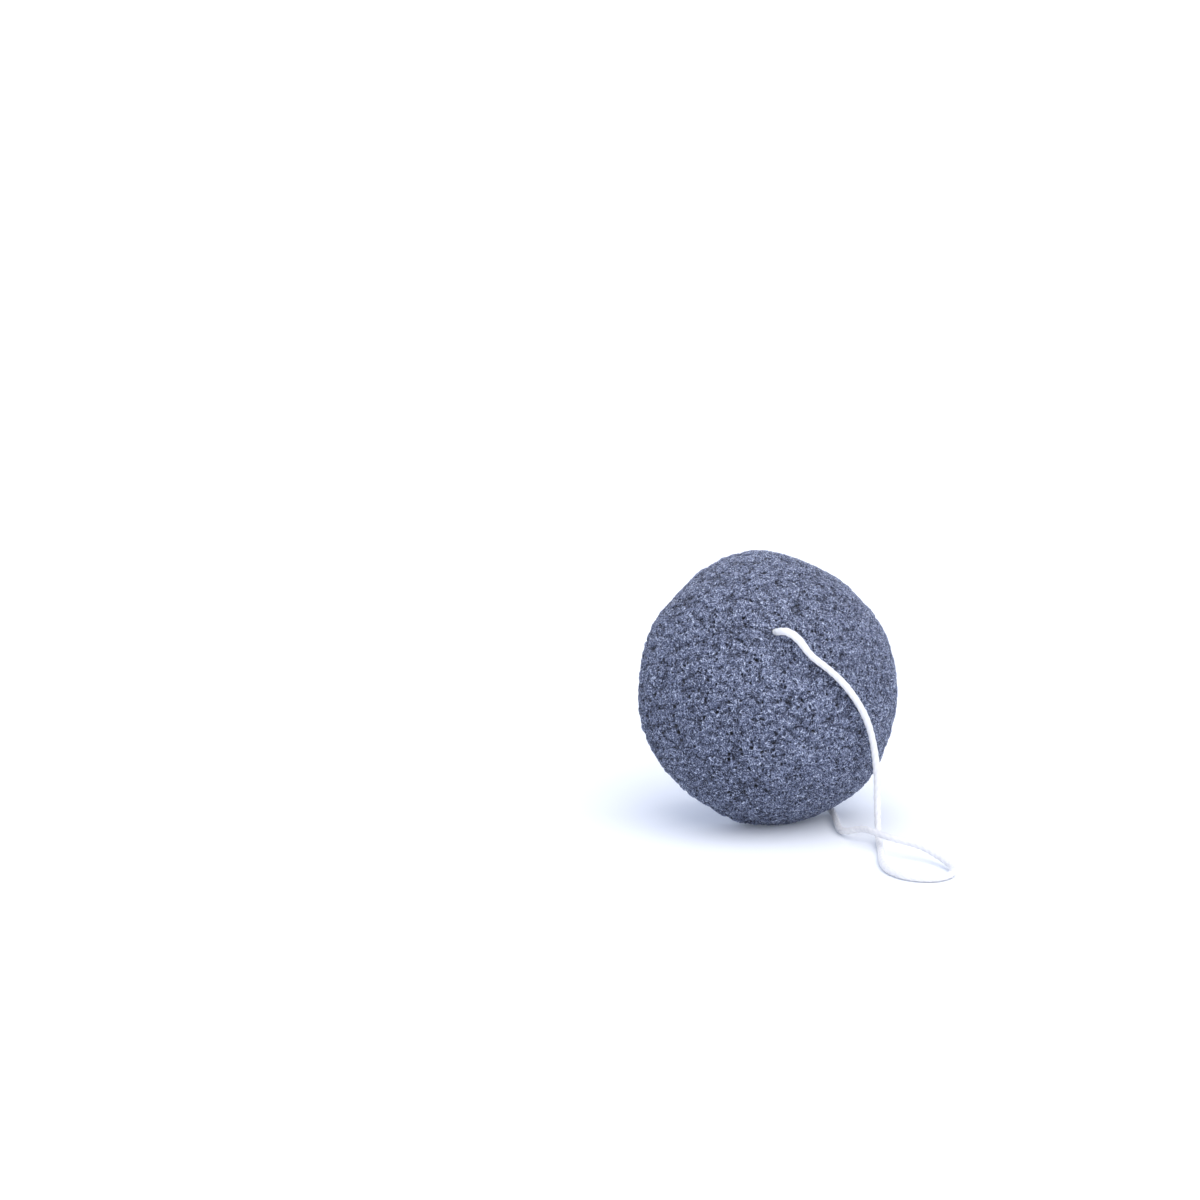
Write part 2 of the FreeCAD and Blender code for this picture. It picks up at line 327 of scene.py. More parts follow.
def run_spots(done, row_length, rows):
    """Gives the corners of one ring's faces, in the row of the map that the run has come to."""
    row, along = divmod(done, row_length)
    left = RUNS_FROM + RUNS_WIDE * along / row_length
    right = RUNS_FROM + RUNS_WIDE * (along + 1) / row_length
    inner = 1 - 2 * ROW_MARGIN
    heights = [(row + ROW_MARGIN + inner * side / SIDES) / rows for side in range(SIDES + 1)]
    return stack_of_boxes(left, right, heights)


def hair_spots(number, low, tall):
    """Gives the corners of one ring's faces of a fibre, in its own cell of the column."""
    width = HAIRS_WIDE / (HAIR_RINGS - 1)
    left = HAIRS_FROM + width * number
    heights = [low + tall * side / HAIR_SIDES for side in range(HAIR_SIDES + 1)]
    return stack_of_boxes(left, left + width, heights)


def end_spots(middle, radius, sides):
    """Gives the corners of the faces that close an end, as slices of a disc."""
    turns = [2 * math.pi * side / sides for side in range(sides + 1)]
    rim = [(ENDS_AT + radius * math.cos(t), middle + radius * math.sin(t)) for t in turns]
    return [(a, b, (ENDS_AT, middle)) for a, b in zip(rim, rim[1:])]


print("the runs take up", RUNS_WIDE, "of their map's width")

# %% Rings as one closed mesh


def ring_faces(near, sides):
    """Gives the faces between the ring whose points start at near and the ring after it."""
    far = near + sides
    pairs = [(side, (side + 1) % sides) for side in range(sides)]
    return [(near + a, near + b, far + b, far + a) for a, b in pairs]


def string_piece(name, runs, hairs=(), rows=6):
    """Makes one closed mesh from runs and loose hairs, with a bake map of straight strips."""
    points, places, faces, spots = [], [], [], []
    cells = 2 * len(runs) + len(hairs)
    row_length = math.ceil(sum(len(rings) - 1 for rings in runs) / rows)
    done, cell = 0, 0
    for rings in [*runs, *hairs]:
        sides, first = len(rings[0]), len(points)
        points += [point for ring in rings for point, place in ring]
        places += [place for ring in rings for point, place in ring]
        is_run = sides == SIDES
        for number in range(len(rings) - 1):
            faces += ring_faces(first + number * sides, sides)
            if is_run:
                spots += run_spots(done, row_length, rows)
                done += 1
            else:
                low, tall = (cell + CELL_MARGIN) / cells, (1 - 2 * CELL_MARGIN) / cells
                spots += hair_spots(number, low, tall)
        for end, start in ((rings[0], first), (rings[-1], len(points) - sides)):
            points.append(sum((point for point, place in end), Vector()) / sides)
            places.append((0.0, 0.0, end[0][1][2]))
            middle = len(points) - 1
            slices = [(start + side, start + (side + 1) % sides, middle) for side in range(sides)]
            radius = min(ENDS_RADIUS, ENDS_SHARE / cells)
            discs = end_spots((cell + 0.5) / cells, radius, sides)
            if end is rings[0]:  # it looks back along the run, so its faces go round the other way
                slices = [(b, a, c) for a, b, c in slices]
                discs = [(b, a, c) for a, b, c in discs]
            faces += slices
            spots += discs
            cell += is_run
        cell += not is_run
    mesh = bpy.data.meshes.new(name)
    mesh.from_pydata(points, [], faces)
    strand_place = mesh.attributes.new("strand_place", "FLOAT_VECTOR", "POINT")
    for item, place in zip(strand_place.data, places):
        item.vector = Vector(place) * 1000
    bake_map = mesh.uv_layers.new(name="OFBake")
    for item, spot in zip(bake_map.data, [spot for face in spots for spot in face]):
        item.uv = spot
    for face in mesh.polygons:
        face.use_smooth = len(face.vertices) == 4  # flat ends, so no seam shows where runs meet
    piece = bpy.data.objects.new(name, mesh)
    bpy.context.collection.objects.link(piece)
    print(name, "has", len(faces), "faces")
    return piece


# %% The free loop and the stretch in the channel
HANGING_RADIUS = 0.00104
BOW_EXTRA = 0.00018
BOW_AT, BOW_REACH = 0.028, 0.024  # as shares of the loop's length
UNEVEN = ((0.00003, 61, 1), (0.00002, 143, 0))  # how much, how often, and from where


def loop_radius(share):
    """The string is full in the bow over the foam, thin where it hangs, and uneven all along."""
    bow = max(0.0, 1 - abs(share - BOW_AT) / BOW_REACH)
    uneven = sum(much * math.sin(often * share + start) for much, often, start in UNEVEN)
    return HANGING_RADIUS + BOW_EXTRA * (3 - 2 * bow) * bow**2 + uneven


first_side = Vector((1, 0, 0))
channel_line = evenly([CHANNEL_BACK, STRING_EXIT])
channel_turn = -2 * math.pi * length_of(channel_line) / LAY
channel_run = string_run(channel_line, first_side, channel_turn, lambda share: loop_radius(0))
held_string = string_piece("held_string", [channel_run], rows=3)
loop_run = string_run(loop_line, first_side, 0.0, loop_radius)
loop = string_piece("loop_string", [plugged(loop_run, loop_line)])

# %% [markdown]
# The knot behind the sponge.
# Both ends of the string are tied there, so that it can't slip back through the foam. It goes
# twice round in the form of a thumb knot and ends in two short tails, whose cut ends fray.

# %% Form of the knot
KNOT_MIDDLE = Vector((-0.01505, 0.026084, 0.042693))
KNOT_LOBES = 3
KNOT_LOBE = 0.00185  # how far each one swings in and out
KNOT_RING = 2  # the radius of the ring that they swing about, in the same measure
KNOT_DEPTH = 0.0025
KNOT_PITCH = 0.0027
TURNS_OF_KNOT = 2


def knot_place(angle):
    """Gives a place on the knot: round the middle, in and out, and slowly from back to front."""
    lobes = KNOT_LOBES * angle / TURNS_OF_KNOT
    done = angle / (TURNS_OF_KNOT * 2 * math.pi)
    out = KNOT_LOBE * (KNOT_RING + math.cos(lobes))
    deep = KNOT_DEPTH * math.sin(lobes) + KNOT_PITCH * (0.5 - done)
    return KNOT_MIDDLE + Vector((out * math.cos(angle), deep, out * math.sin(angle)))


knot_size = 2 * KNOT_LOBE * (KNOT_RING + 1)
print("the line of the knot is", round(knot_size * 1000, 1), "mm across")

# %% Route through the knot
KNOT_LEAD = 0.0026
KNOT_STANDOFF = 0.0042
KNOT_PLACES = 24

mouth = CHANNEL_BACK - OUT_OF_DOME * KNOT_STANDOFF
spacing = TURNS_OF_KNOT * 2 * math.pi / KNOT_PLACES
turns = [knot_place((number + 0.5) * spacing) for number in reversed(range(KNOT_PLACES))]
knot_route = [
    CHANNEL_BACK,
    mouth,
    (mouth.x, mouth.y, KNOT_MIDDLE.z + KNOT_LEAD),
    *turns,
    (KNOT_END[0], KNOT_END[1], KNOT_MIDDLE.z - KNOT_LEAD),
    KNOT_END,
]
knot_line = smooth_line(knot_route)


def knot_radius(share):
    """As thick as the stretch in the channel at one end, and as the loop at the other."""
    return loop_radius(0) * (1 - share) + loop_radius(1) * share


# the strands of the knot end where the strands of the loop end
loop_ends = [point - loop_line[-1] for point, place in loop_run[-1]]
knot_run = string_run(
    knot_line, first_side, -channel_turn, knot_radius, loop_ends[0].normalized()
)
print("the knot takes", round(length_of(knot_line) * 1000, 1), "mm of string")

# %% Tails with frayed ends
TAILS = [
    [(-1.3, 0.5, 0.3), (-3.4, 0.8, 0.5), (-5.8, 0.7, -0.9)],
    [(-1.3, -0.5, -0.3), (-3.2, -0.6, -1.3), (-4.4, -0.4, -3.7)],
]
TAIL_RADIUS = 0.00107
TAPER, TAPER_FROM = 0.35, 0.8  # a tail's end thins by this share, from this share of its length
FIBRES_PER_TAIL = 46
FIBRE_SPREAD = 0.00065
FIBRE_ROOT = 0.0006
FIBRE_LEAN = (0.2, 0.75)
FIBRE_LENGTH = (0.0016, 0.0034)
FIBRE_RADIUS = (0.00007, 0.00012)
FIBRE_DROOP = (0, 0.0006)
chance = random.Random(7)


def tail_radius(share):
    return TAIL_RADIUS * (1 - TAPER * max(0.0, share - TAPER_FROM) / (1 - TAPER_FROM))


tail_runs, fibres = [], []
for places in TAILS:
    route = [KNOT_MIDDLE + Vector(place) * STRING_DIAMETER for place in places]
    line = smooth_line(route)
    tail_runs.append(string_run(line, first_side, 0.0, tail_radius))
    ahead = (line[-1] - line[-3]).normalized()
    side = ahead.orthogonal().normalized()
    for number in range(FIBRES_PER_TAIL):
        angle, out = chance.uniform(0, 2 * math.pi), chance.uniform(0, FIBRE_SPREAD)
        away = side * math.cos(angle) + ahead.cross(side) * math.sin(angle)
        lean = chance.uniform(*FIBRE_LEAN)
        way = (ahead + away * (out / FIBRE_SPREAD) * lean).normalized()
        fibres.append(
            hair(
                line[-1] - ahead * FIBRE_ROOT + away * out,
                way,
                chance.uniform(*FIBRE_LENGTH),
                chance.uniform(*FIBRE_RADIUS),
                chance.uniform(*FIBRE_DROOP),
            )
        )
knot_run = plugged(knot_run, knot_line)
knot = string_piece("knot", [knot_run, *tail_runs], fibres, rows=5)

# %% [markdown]
# The foam.
# Konjac foam is a jelly that was frozen and dried. Ice crystals left a net of fine threads with
# pores between them, and steam left some larger pits, more of them near the rim. The body is
# the solid model's, copied, with its loose triangles merged. A voxel remesh gives it small
# even faces. Then a few broad pulls, as with a sculpting brush, make it as uneven as
# a moulded jelly is when it has dried.

# %% Body of the sponge
VOXEL = 0.00030  # near the width of a thread of the foam

sponge = frame["nodes"]["sponge_body"].copy()
sponge.data = sponge.data.copy()
sponge.name = "sponge"
sponge.parent = None
sponge.data.materials.clear()
bpy.context.collection.objects.link(sponge)


def work_on(piece):
    bpy.ops.object.select_all(action="DESELECT")
    piece.select_set(True)
    bpy.context.view_layer.objects.active = piece


work_on(sponge)
bpy.ops.object.mode_set(mode="EDIT")
bpy.ops.mesh.select_all(action="SELECT")
bpy.ops.mesh.remove_doubles(threshold=1e-6)
bpy.ops.mesh.normals_make_consistent(inside=False)
bpy.ops.object.mode_set(mode="OBJECT")
remesh = sponge.modifiers.new("even faces", "REMESH")
remesh.mode = "VOXEL"
remesh.voxel_size = VOXEL
bpy.ops.object.modifier_apply(modifier=remesh.name)
print("the sponge has", len(sponge.data.polygons), "faces")

# %% Broad pulls
PULLS = [  # degrees round the dome from +X, height over the back, pull outwards, reach
    (-172, 0.0045, 0.0008, 0.018),
    (-128, 0.0050, -0.0009, 0.018),
    (-52, 0.0170, 0.0010, 0.016),
    (42, 0.0200, -0.0006, 0.015),
    (89, 0.0085, 0.0011, 0.016),
    (126, 0.0055, -0.0010, 0.012),
    (62, 0.0165, -0.0007, 0.009),
]
WIDEST_AT, DOME_RISE = 0.007, 0.0355  # the dome's widest height, and its rise from there


def dome_radius(height):
    """About how wide the sponge is at a height over its back."""
    risen = max(height - WIDEST_AT, 0) / DOME_RISE
    return SPONGE_RADIUS * math.sqrt(max(0.0, 1 - risen**2))


def pull(place, move, reach):
    """Moves the foam near a place, and less and less what is further from it."""
    for vertex in sponge.data.vertices:
        vertex.select = False
    nearest = min(sponge.data.vertices, key=lambda vertex: (vertex.co - place).length_squared)
    nearest.select = True
    bpy.ops.object.mode_set(mode="EDIT")
    bpy.ops.mesh.select_mode(type="VERT")
    bpy.ops.transform.translate(
        value=move,
        use_proportional_edit=True,
        proportional_edit_falloff="SMOOTH",
        proportional_size=reach,
    )
    bpy.ops.object.mode_set(mode="OBJECT")


for degrees, height, amount, reach in PULLS:
    angle = math.radians(degrees)
    side = Vector((1, 0, 0)) * math.cos(angle) + UP_THE_BACK * math.sin(angle)
    place = BACK_MIDDLE + OUT_OF_DOME * height + side * dome_radius(height)
    pull(place, side * amount, reach)
print("pulled the foam at", len(PULLS), "places")

# %% [markdown]
# The pores.
# One pattern makes both the relief and the colour of the foam, so that the shade painted into
# a pore's colour is darkest where it is deep. It is built from procedural noise in millimetres,
# which goes through the body as the real pores do: soft lumps, pads with a fold between them,
# pores, threads that lie every way, and pits. One side is coarser than the other. The thinnest
# lines are too fine to move the surface, so they are only painted into the colour, as bright
# glints. The same function adds the pattern to the Geometry Nodes tree, which moves the
# surface, and later to the material. The place of each point before it is moved is kept as an
# attribute, and both read the pattern there.

# %% Sizes of the pattern in millimetres, and one helper that adds a node
LUMP_SPACING = 5.0
FOLD_SPACING = 5.0
PORE_SPACING = 1.4
PIT_SPACING = 2.8
THREAD_WIDTH = 0.38


def add_node(tree, kind, inputs=None, **settings):
    """Adds a node, sets it, and fills its inputs with values or with other nodes' outputs."""
    node = tree.nodes.new(kind)
    for name, value in settings.items():
        setattr(node, name, value)
    for name, value in (inputs or {}).items():
        if isinstance(value, bpy.types.NodeSocket):
            tree.links.new(value, node.inputs[name])
        else:
            node.inputs[name].default_value = value
    return node


print("pores every", PORE_SPACING, "mm, and threads", THREAD_WIDTH, "mm wide")

# %% Short names for the nodes that count


def vector_step(tree, operation, *values, output=0):
    node = add_node(tree, "ShaderNodeVectorMath", dict(enumerate(values)), operation=operation)
    return node.outputs[output]


def number_step(tree, operation, *values):
    node = add_node(tree, "ShaderNodeMath", dict(enumerate(values)), operation=operation)
    return node.outputs[0]


def scaled(tree, vector, number):
    node = add_node(tree, "ShaderNodeVectorMath", {0: vector, "Scale": number}, operation="SCALE")
    return node.outputs[0]


def smooth_range(tree, value, low, high, to_low=0.0, to_high=1.0):
    inputs = {0: value, 1: low, 2: high, 3: to_low, 4: to_high}
    node = add_node(tree, "ShaderNodeMapRange", inputs, interpolation_type="SMOOTHSTEP")
    return node.outputs[0]


# %% Noise and cells


def noise(tree, at, spacing, detail=1.0, roughness=0.5):
    inputs = {"Vector": at, "Scale": 1 / spacing, "Detail": detail, "Roughness": roughness}
    return add_node(tree, "ShaderNodeTexNoise", inputs)


def push(tree, at, spacing, amount):
    """Moves a place about, so that cells drawn there are no longer neat."""
    colour = noise(tree, at, spacing).outputs["Color"]
    offset = vector_step(tree, "SUBTRACT", colour, (0.5, 0.5, 0.5))
    return vector_step(tree, "MULTIPLY_ADD", offset, (amount,) * 3, at)


def cells(tree, at, spacing, feature="F1"):
    inputs = {"Vector": at, "Scale": 1 / spacing, "Randomness": 1.0}
    return add_node(tree, "ShaderNodeTexVoronoi", inputs, feature=feature)


# %% Threads and thin bent lines


def strokes(tree, place, patch, width, longer, seed):
    """Gives short threads, 0 to 1. In each patch they lie in one direction, chosen by chance."""
    at = vector_step(tree, "ADD", push(tree, place, 1.1, 0.8), (seed, 2 * seed, 3 * seed))
    chosen = cells(tree, at, patch).outputs["Color"]
    way = vector_step(tree, "NORMALIZE", vector_step(tree, "SUBTRACT", chosen, (0.5, 0.5, 0.5)))
    along = vector_step(tree, "DOT_PRODUCT", at, way, output=1)
    back = number_step(tree, "MULTIPLY", along, -longer)
    drawn_out = vector_step(tree, "ADD", at, scaled(tree, way, back))
    return noise(tree, drawn_out, width, 1.0).outputs[0]


def crinkles(tree, place, spacing, wide):
    """Gives thin bent lines, 0 to 1: the places where a soft noise crosses its middle."""
    level = noise(tree, push(tree, place, 0.8, 0.5), spacing).outputs[0]
    off = number_step(tree, "ABSOLUTE", number_step(tree, "SUBTRACT", level, 0.5))
    return smooth_range(tree, off, 0.0, wide, 1.0, 0.0)


# %% The whole pattern
COARSE_WAY = (-0.78, 0.2, -0.6)  # to the side on which the steam left the foam coarser
COARSE_FROM, COARSE_TO = -14.0, 10.0
BORDER_SPACING, BORDER_WANDERS = 14.0, 24.0


def foam_pattern(tree, place):
    """Adds the pattern at a place in mm. Gives its parts by name, each from 0 to 1."""
    # soft lumps, and the coarse side, whose border wanders
    lumps = noise(tree, place, LUMP_SPACING, 2.0, 0.55).outputs[0]
    to_side = vector_step(tree, "DOT_PRODUCT", place, COARSE_WAY, output=1)
    broad = number_step(tree, "SUBTRACT", noise(tree, place, BORDER_SPACING).outputs[0], 0.5)
    to_side = number_step(tree, "MULTIPLY_ADD", broad, BORDER_WANDERS, to_side)
    coarse = smooth_range(tree, to_side, COARSE_FROM, COARSE_TO)

    # folds: rounded pads with a crease between them, a little wider than high
    pressed = vector_step(tree, "MULTIPLY", place, (1.0, 1.0, 1.5))
    loose = push(tree, push(tree, pressed, 3.0, 1.8), 1.1, 0.9)
    edge = cells(tree, loose, FOLD_SPACING, "DISTANCE_TO_EDGE").outputs["Distance"]
    folds = smooth_range(tree, edge, 0.0, 0.34)
    broken = noise(tree, place, 3.2).outputs[0]
    creases = number_step(
        tree,
        "MULTIPLY",
        smooth_range(tree, edge, 0.0, 0.15, 1.0, 0.0),
        smooth_range(tree, broken, 0.42, 0.56),
    )

    # pores, short threads between them, and thin bent lines, which only carry painted glints
    pore = cells(tree, push(tree, place, 0.9, 0.7), PORE_SPACING)
    pore_size = smooth_range(tree, noise(tree, place, 2.6).outputs[0], 0.35, 0.65, 0.10, 0.32)
    ratio = number_step(tree, "DIVIDE", pore.outputs["Distance"], pore_size)
    pores = smooth_range(tree, ratio, 0.6, 1.2, 1.0, 0.0)
    first = smooth_range(tree, strokes(tree, place, 2.4, THREAD_WIDTH, 0.8, 3.1), 0.36, 0.64)
    second = strokes(tree, place, 1.9, THREAD_WIDTH * 0.75, 0.78, 8.3)
    second = smooth_range(tree, second, 0.38, 0.62)
    third = crinkles(tree, place, 1.1, 0.045)

    # pits: rare cells whose middle is a hole, with more and larger ones where the foam is coarse
    pit = cells(tree, push(tree, place, 1.4, 1.2), PIT_SPACING)
    chosen = vector_step(tree, "DOT_PRODUCT", pit.outputs["Color"], (1.0, 0.0, 0.0), output=1)
    pit_size = smooth_range(tree, chosen, 0.25, 1.0, 0.03, 0.20)
    pit_size = number_step(tree, "MULTIPLY_ADD", coarse, 0.075, pit_size)
    ratio = number_step(tree, "DIVIDE", pit.outputs["Distance"], pit_size)
    pits = smooth_range(tree, ratio, 0.6, 1.15, 1.0, 0.0)
    return {
        "lumps": lumps,
        "coarse": coarse,
        "folds": folds,
        "coarse folds": number_step(tree, "MULTIPLY", folds, coarse),
        "creases": creases,
        "pores": pores,
        "threads": first,
        "fine threads": second,
        "glints": third,
        "pits": pits,
    }


# %% Relief of the foam
RELIEF_MM = {
    "lumps": 1.0,
    "folds": 0.14,
    "coarse": -0.08,
    "coarse folds": 0.08,
    "creases": -0.26,
    "pores": -0.33,
    "threads": 0.21,
    "fine threads": 0.14,
    "pits": -0.95,
}
RELIEF_MIDDLE_MM = -0.80

relief = bpy.data.node_groups.new("foam relief", "GeometryNodeTree")
relief.interface.new_socket("Foam", in_out="INPUT", socket_type="NodeSocketGeometry")
relief.interface.new_socket("Foam", in_out="OUTPUT", socket_type="NodeSocketGeometry")
foam_in = relief.nodes.new("NodeGroupInput")
foam_out = relief.nodes.new("NodeGroupOutput")

position = add_node(relief, "GeometryNodeInputPosition").outputs[0]
place_in_mm = scaled(relief, position, 1000.0)
kept = add_node(
    relief,
    "GeometryNodeStoreNamedAttribute",
    {"Geometry": foam_in.outputs[0], "Name": "foam_place", "Value": place_in_mm},
    data_type="FLOAT_VECTOR",
    domain="POINT",
)
height = RELIEF_MIDDLE_MM
for part, output in foam_pattern(relief, place_in_mm).items():
    if part in RELIEF_MM:
        height = number_step(relief, "MULTIPLY_ADD", output, RELIEF_MM[part], height)
print("the pattern takes", len(relief.nodes), "nodes")

# %% Beside the channel the pattern fades out, and the foam is drawn in until it holds the string
FADE_FROM_MM, FADE_TO_MM = 1.3, 3.2  # from the channel's axis
WALL_MM, MOUTH_MM = 1.25, 1.7
HOLD_MM, MOUTH_HOLD_MM = 0.16, 0.52

from_back = vector_step(relief, "SUBTRACT", place_in_mm, tuple(CHANNEL_BACK * 1000))
along = vector_step(relief, "DOT_PRODUCT", from_back, tuple(OUT_OF_DOME), output=1)
beside = vector_step(relief, "SUBTRACT", from_back, scaled(relief, tuple(OUT_OF_DOME), along))
to_channel = vector_step(relief, "LENGTH", beside, output=1)
fade = smooth_range(relief, to_channel, FADE_FROM_MM, FADE_TO_MM)
height = number_step(relief, "MULTIPLY", height, fade)
outwards = add_node(relief, "GeometryNodeInputNormal").outputs[0]
offset = scaled(relief, outwards, number_step(relief, "MULTIPLY", height, 0.001))
drawn_in = smooth_range(relief, to_channel, WALL_MM, MOUTH_MM, HOLD_MM, MOUTH_HOLD_MM)
let_go = smooth_range(relief, to_channel, MOUTH_MM, FADE_TO_MM, 1.0, 0.0)
drawn_in = number_step(relief, "MULTIPLY", drawn_in, let_go)
inwards = scaled(relief, vector_step(relief, "NORMALIZE", beside), drawn_in)
print("the foam is drawn in by", HOLD_MM, "mm, and by", MOUTH_HOLD_MM, "mm at its mouths")

# %% Move the surface
moved = vector_step(relief, "ADD", position, offset)
moved = vector_step(relief, "SUBTRACT", moved, scaled(relief, inwards, 0.001))
on_floor = vector_step(relief, "MAXIMUM", moved, (-1.0, -1.0, 0.0))
set_place = add_node(
    relief, "GeometryNodeSetPosition", {"Geometry": kept.outputs[0], "Position": on_floor}
)
relief.links.new(set_place.outputs[0], foam_out.inputs[0])

work_on(sponge)
foam_modifier = sponge.modifiers.new("pores", "NODES")
foam_modifier.node_group = relief
bpy.ops.object.modifier_apply(modifier=foam_modifier.name)
sponge.data.shade_smooth()
print("attributes of the foam:", [a.name for a in sponge.data.attributes if a.name[0] != "."])

# %% [markdown]
# A map to bake the foam through.
# This map is for baking the foam's pattern to an image. An automatic unwrap would cut this
# rough surface into thousands of bits. It is only a bowl, a lid and a tube, though, so three
# sheets are enough: the dome looked at from far inside and spread flat, the back looked at
# straight on, and the wall of the channel unrolled.

# %% Places of the foam, as arrays
mesh = sponge.data
place = np.empty(3 * len(mesh.vertices))
mesh.attributes["foam_place"].data.foreach_get("vector", place)
place = place.reshape(-1, 3) - np.array(BACK_MIDDLE) * 1000
across, rise, out = place[:, 0], place @ np.array(UP_THE_BACK), place @ np.array(OUT_OF_DOME)
corner = np.empty(len(mesh.loops), dtype=np.int32)
mesh.loops.foreach_get("vertex_index", corner)
corner = corner.reshape(-1, 4)  # the remesh makes only four-sided faces
print("the foam has", len(corner), "faces to lay on the map")

# %% Three sheets
# where each one starts on the map, and how far it reaches from there
DOME_SHEET = ((0.32, 0.5), (0.315, 0.495))
BACK_SHEET = ((0.825, 0.45), (0.17, 0.445))
WALL_SHEET = ((0.66, 0.95), (0.33, 0.035))


def on_sheet(sheet, x, y):
    start, reach = sheet
    return np.stack([start[0] + reach[0] * x, start[1] + reach[1] * y], -1)


# the dome, by how far round from its top a place is
DOME_EYE_MM, DOME_TURN = 12.0, math.radians(108)
around = np.arctan2(rise, across)
from_top = np.arctan2(np.hypot(across, rise), out - DOME_EYE_MM) / DOME_TURN
dome_map = on_sheet(DOME_SHEET, from_top * np.cos(around), from_top * np.sin(around))[corner]

# the back, seen straight on
BACK_EDGE_MM, BACK_DEPTH_MM = 38.5, 1.0
back_map = on_sheet(BACK_SHEET, across / BACK_EDGE_MM, rise / BACK_EDGE_MM)[corner]

# the channel's wall, unrolled
WALL_LONGEST_MM, WALL_REACH_MM = 42.0, 1.45
beside = place - (np.array(CHANNEL_BACK) - np.array(BACK_MIDDLE)) * 1000
turned = np.arctan2(beside @ np.array(UP_THE_BACK), beside[:, 0])[corner]
turned += 2 * np.pi * (turned < turned[:, :1] - np.pi)
turned -= 2 * np.pi * (turned > turned[:, :1] + np.pi)
wall_map = on_sheet(WALL_SHEET, out[corner] / WALL_LONGEST_MM, turned / np.pi)
print("the dome's sheet reaches", round(math.degrees(DOME_TURN)), "degrees from its top")

# %% One sheet for each face
to_axis = np.hypot(beside[:, 0], beside @ np.array(UP_THE_BACK))[corner].mean(1)
in_back = out[corner].mean(1) < BACK_DEPTH_MM
in_wall = to_axis < WALL_REACH_MM
spots = np.where(in_back[:, None, None], back_map, dome_map)
spots = np.where(in_wall[:, None, None], wall_map, spots).clip(0.001, 0.999)
bake_map = mesh.uv_layers.new(name="OFBake", do_init=False)
bake_map.uv.foreach_set("vector", spots.astype(np.float32).ravel())
print("the foam's map has", len(corner), "faces,", int(in_wall.sum()), "of them in the channel")

# %% [markdown]
# The finish of the foam.
# Charcoal konjac foam is dull, dark blue grey and a little shiny on its threads, like dried
# jelly. Noise of its own could colour it, but then the painted shade would not follow a pore's
# depth. So the material reads the same pattern as the relief and paints light and shade into
# the colour: pores and creases are painted darker as shade, pits nearly black as shade, the
# coarse side at the lower left a little darker as shade, and raised threads, lumps and pads
# lighter as if lit, with thin bent lines painted bright as glints.

# %% Colours from hex values


def colour(code):
    """Turns an sRGB hex value into the linear colour that a shader takes."""
    parts = [int(code[start : start + 2], 16) / 255 for start in (1, 3, 5)]
    return (*[p / 12.92 if p <= 0.04045 else ((p + 0.055) / 1.055) ** 2.4 for p in parts], 1)


print("a middle grey, #808080, gives back", round(colour("#808080")[0], 2), "of the light")

# %% A new material, without nodes


def new_material(name):
    material = bpy.data.materials.new(name)
    material.use_nodes = True
    material.node_tree.nodes.clear()
    return material, material.node_tree


# %% Charcoal konjac foam: dried plant jelly, so its threads are matte with a faint gloss
foam_material, tree = new_material("charcoal konjac foam")
place = add_node(tree, "ShaderNodeAttribute", attribute_name="foam_place").outputs["Vector"]
parts = foam_pattern(tree, place)
# painted light and shade: threads, lumps and pads lighter as if lit, bent lines painted bright as
# glints; pores, creases and the coarse lower-left side darker as painted shade
SHADE = {
    "threads": 0.22,
    "fine threads": 0.44,
    "glints": 0.44,
    "pores": -0.6,
    "creases": -0.22,
    "lumps": 0.24,
    "folds": 0.05,
    "coarse": -0.05,
}
SHADE_MIDDLE = -0.04
shade = SHADE_MIDDLE
for part, share in SHADE.items():
    shade = number_step(tree, "MULTIPLY_ADD", parts[part], share, shade)
# the ramp turns the foam's own tone, with its painted light and shade, into colours
foam_colours = add_node(tree, "ShaderNodeValToRGB", {0: shade})
ramp = foam_colours.color_ramp
ramp.elements[0].color = colour("#151927")
ramp.elements[1].color = colour("#C9D2E6")
for at, code in ((0.25, "#373D50"), (0.5, "#5B637D"), (0.75, "#8790AC")):
    ramp.elements.new(at).color = colour(code)
# pits are painted nearly black, as the shade deep in a hole
pits_painted_dark = add_node(
    tree,
    "ShaderNodeMix",
    {0: parts["pits"], 6: foam_colours.outputs[0], 7: colour("#13151B")},
    data_type="RGBA",
)
rough = smooth_range(tree, parts["threads"], 0.3, 1.0, 0.8, 0.4)
bump_height = number_step(tree, "SUBTRACT", parts["threads"], parts["pores"])
bump = add_node(
    tree, "ShaderNodeBump", {"Strength": 0.7, "Distance": 0.0002, "Height": bump_height}
)
foam_shader = add_node(
    tree,
    "ShaderNodeBsdfPrincipled",
    {
        "Base Color": pits_painted_dark.outputs[2],
        "Roughness": rough,
        "Normal": bump.outputs[0],
        "IOR": 1.45,
    },
)
add_node(tree, "ShaderNodeOutputMaterial", {"Surface": foam_shader.outputs[0]})
sponge.data.materials.append(foam_material)
print(foam_material.name, "has", len(tree.nodes), "nodes")

# %% [markdown]
# The finish of the string.
# It is bleached, undyed cotton, a soft white that scatters light, with fine fibres along each
# strand. The strands are already there as form, so the material adds what is finer than
# they are: noise that is drawn out along them, and a little light that goes through them.
# It also paints the grooves between the strands a little darker, as shade.

# %% Soft cotton string: bleached, undyed fibres, so it is a soft white without shine
cotton_material, tree = new_material("soft cotton string")
place = add_node(tree, "ShaderNodeAttribute", attribute_name="strand_place").outputs["Vector"]
stretched = add_node(tree, "ShaderNodeMapping", {"Vector": place, "Scale": (6.0, 6.0, 0.9)})
fibre = add_node(
    tree,
    "ShaderNodeTexNoise",
    {"Vector": stretched.outputs[0], "Scale": 1.6, "Detail": 3.0, "Roughness": 0.6},
).outputs[0]
